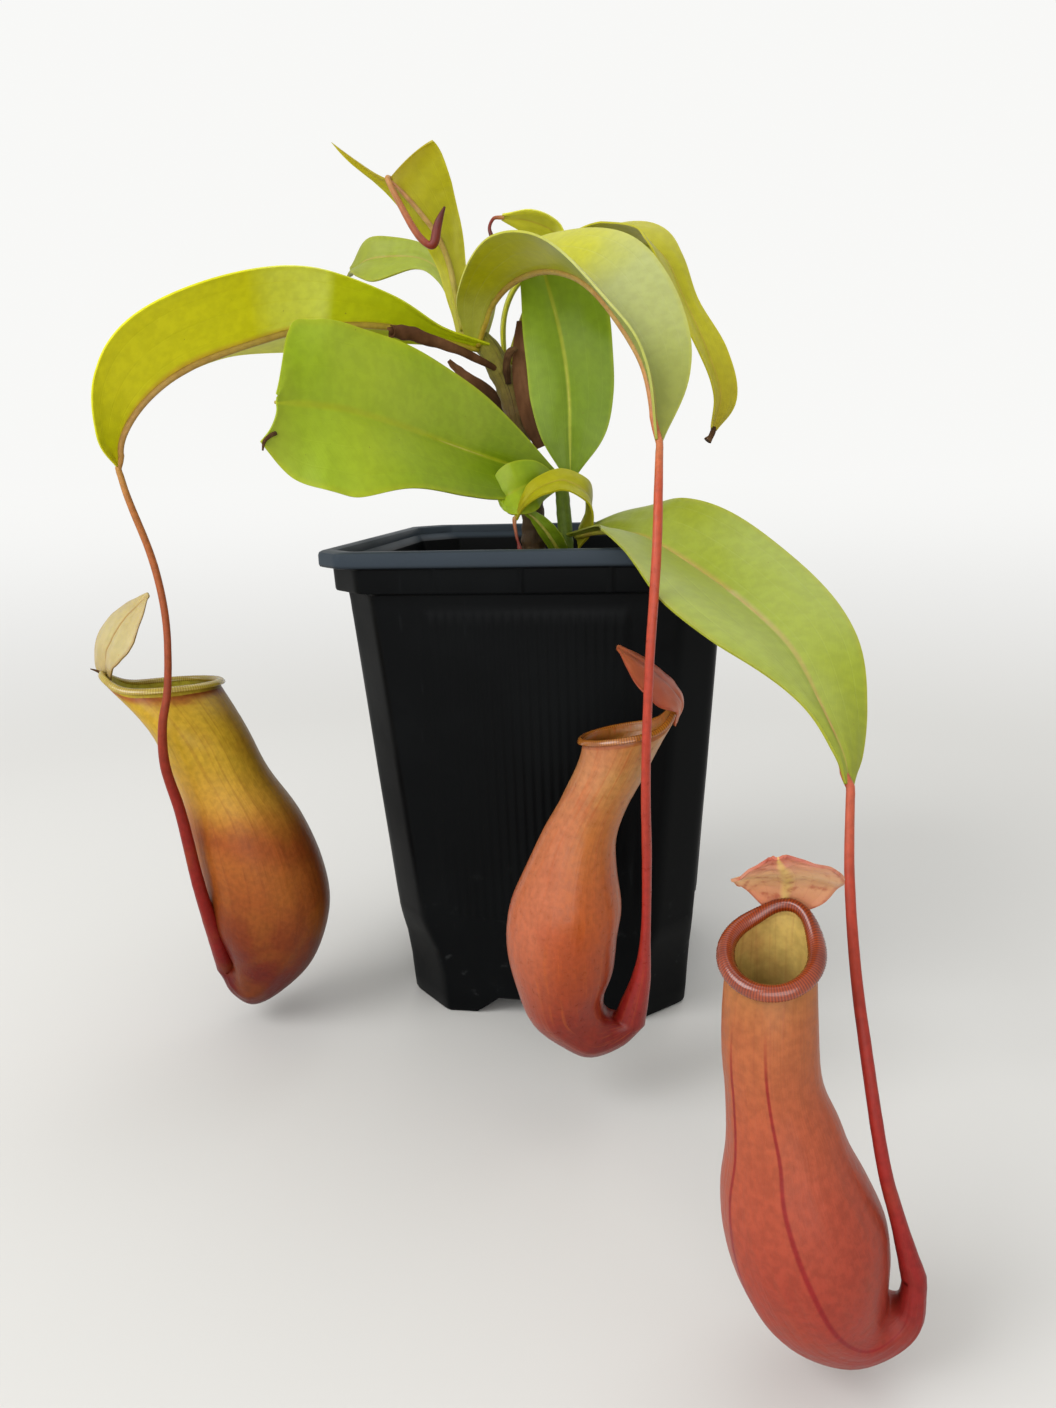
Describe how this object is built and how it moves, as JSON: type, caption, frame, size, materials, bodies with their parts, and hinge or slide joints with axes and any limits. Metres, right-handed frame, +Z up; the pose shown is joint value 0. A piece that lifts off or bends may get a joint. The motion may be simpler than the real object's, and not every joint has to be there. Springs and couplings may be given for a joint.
{
  "type": "potted pitcher plant",
  "caption": "Young tropical pitcher plant in a square black nursery pot: arching leaves whose tendrils carry hanging, lidded pitchers.",
  "frame": {"origin": "middle of the whole plant's footprint, at the level of the pot's feet; the pot's own axis is 19 mm to +X and 56 mm to +Y of it", "axes": "+Z up, +Y away from the front; the pitchers hang on the -Y side, and +X is the viewer's right"},
  "size_m": [0.2046, 0.2214, 0.2444],
  "materials": {
    "pot_plastic": "black moulded plastic with a soft shine",
    "potting_mix": "rough loose bark and fibre with a few white grains",
    "stem_green_brown": "woody stem, brown below and olive above",
    "dried_brown": "dry, matt, dark brown and papery",
    "leaf_green": "waxy leaf, satin shine",
    "leaf_lime": "waxy yellow-green leaf, satin shine",
    "leaf_dark": "waxy dark green leaf, satin shine",
    "tendril_red": "smooth crimson tendril, orange towards the leaf",
    "pitcher_olive": "thin satin pitcher, yellow-olive above and orange-brown below",
    "pitcher_orange": "thin satin pitcher, orange red",
    "pitcher_coral": "thin satin pitcher, coral red with darker veins"
  },
  "bodies": {
    "root": {"basal_curled_leaf": "leaf_lime", "basal_dark_leaf": "leaf_dark", "basal_round_leaf": "leaf_green", "basal_tendril": "tendril_red", "centre_leaf": "leaf_lime", "centre_lid": "pitcher_orange", "centre_pitcher": "pitcher_orange", "centre_tendril": "tendril_red", "dried_rolled_leaf": "dried_brown", "dried_sheath": "dried_brown", "dried_strip": "dried_brown", "dried_stub": "dried_brown", "front_leaf": "leaf_green", "front_tendril": "dried_brown", "left_leaf": "leaf_lime", "left_lid": "pitcher_olive", "left_pitcher": "pitcher_olive", "left_tendril": "tendril_red", "main_stem": "stem_green_brown", "pot": "pot_plastic", "potting_mix": "potting_mix", "rear_leaf": "leaf_dark", "rear_left_leaf": "leaf_green", "rear_right_leaf": "leaf_lime", "rear_right_tendril": "tendril_red", "rear_tendril": "tendril_red", "right_leaf": "leaf_green", "right_lid": "pitcher_coral", "right_pitcher": "pitcher_coral", "right_tendril": "tendril_red", "side_shoot": "stem_green_brown", "upright_leaf": "leaf_green", "young_leaf": "leaf_lime", "young_tendril": "tendril_red"}
  },
  "joints": []
}
